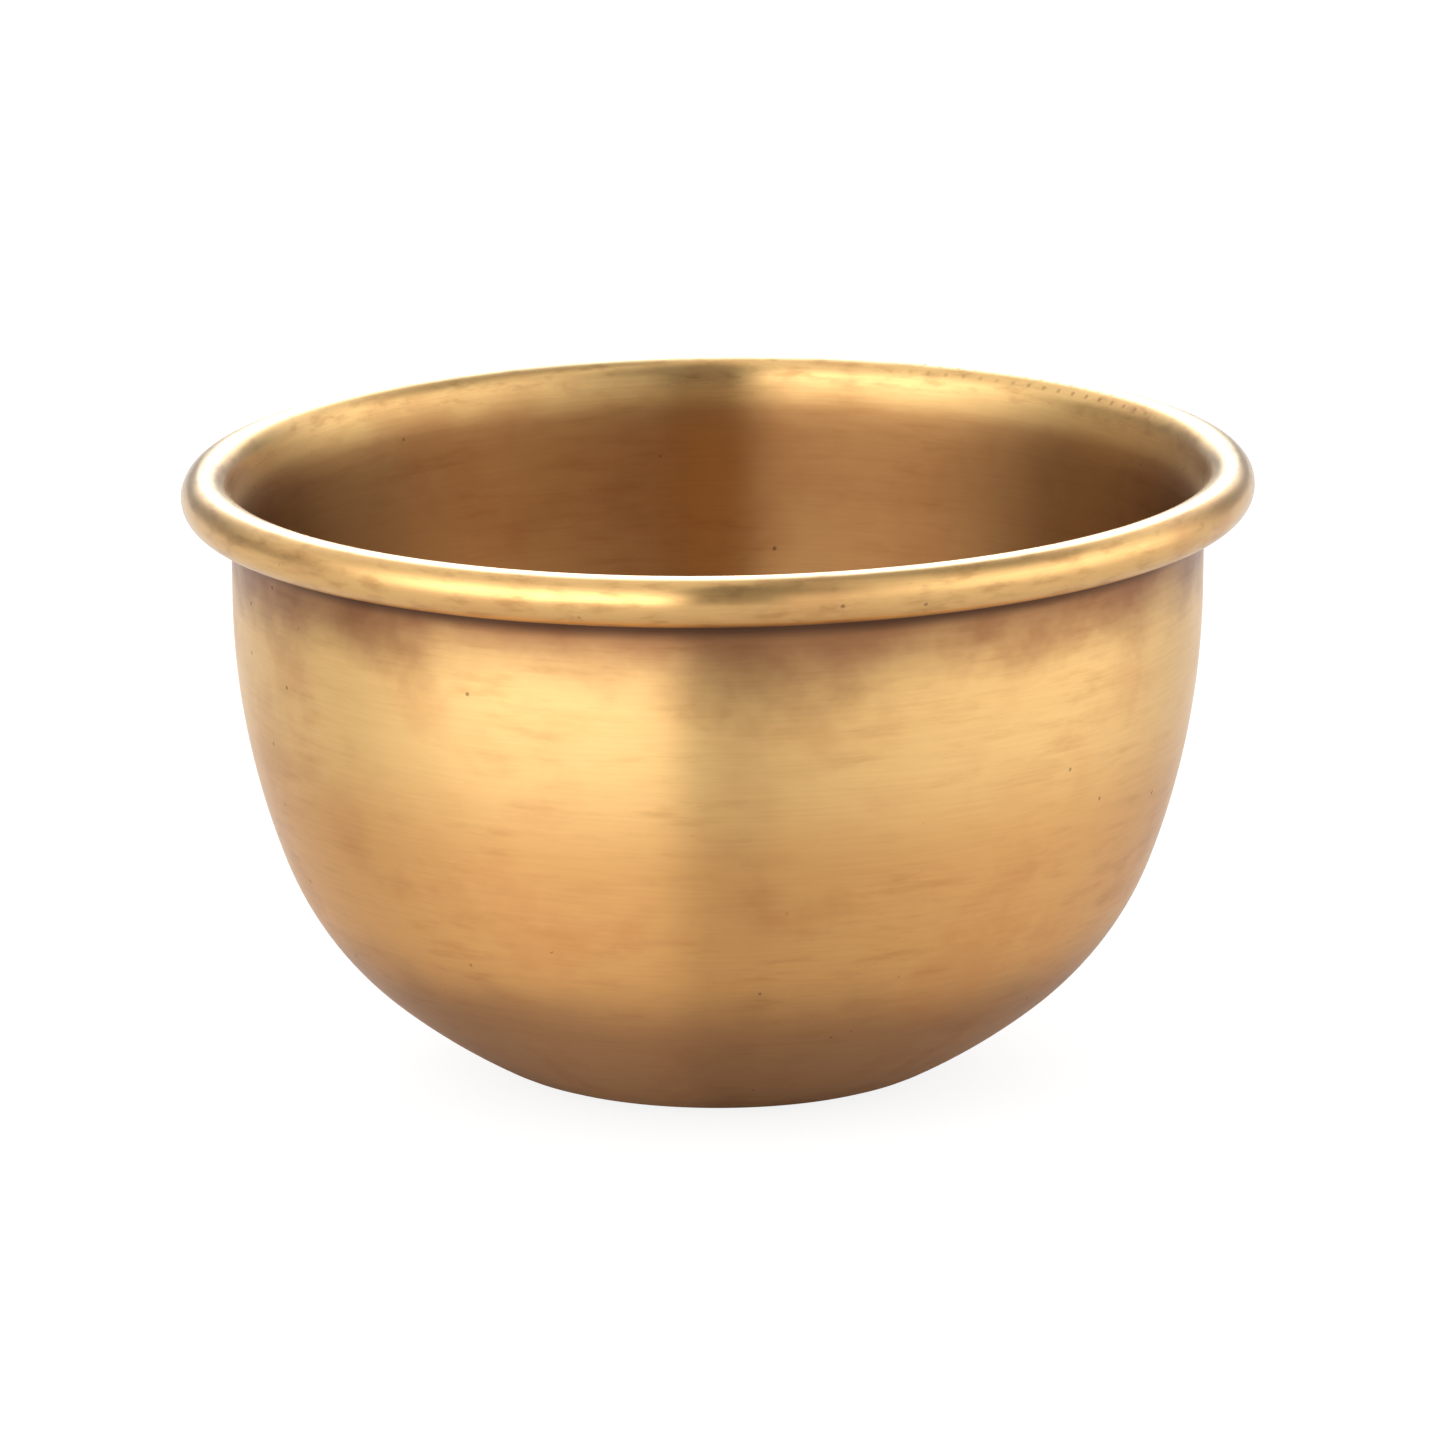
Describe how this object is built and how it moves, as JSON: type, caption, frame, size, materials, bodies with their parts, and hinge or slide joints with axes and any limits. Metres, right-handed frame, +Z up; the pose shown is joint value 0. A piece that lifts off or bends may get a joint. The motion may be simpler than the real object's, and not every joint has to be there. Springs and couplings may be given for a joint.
{
  "type": "shaving bowl",
  "caption": "Spun brass shaving bowl: a deep round cup with a small flat foot and a rim rolled outward over a stiffening wire, for whipping up shaving lather.",
  "frame": {"origin": "centre of the flat foot's underside, on the surface the bowl stands on", "axes": "+Z up along the axis the bowl is turned about, +X to the right, +Y to the back"},
  "size_m": [0.114, 0.114, 0.0655],
  "materials": {
    "aged_brass": "satin antique brass with fine turning lines and a brown patina",
    "steel_wire": "drawn steel wire"
  },
  "bodies": {
    "root": {"bowl_shell": "aged_brass", "rim_wire": "steel_wire"}
  },
  "joints": []
}
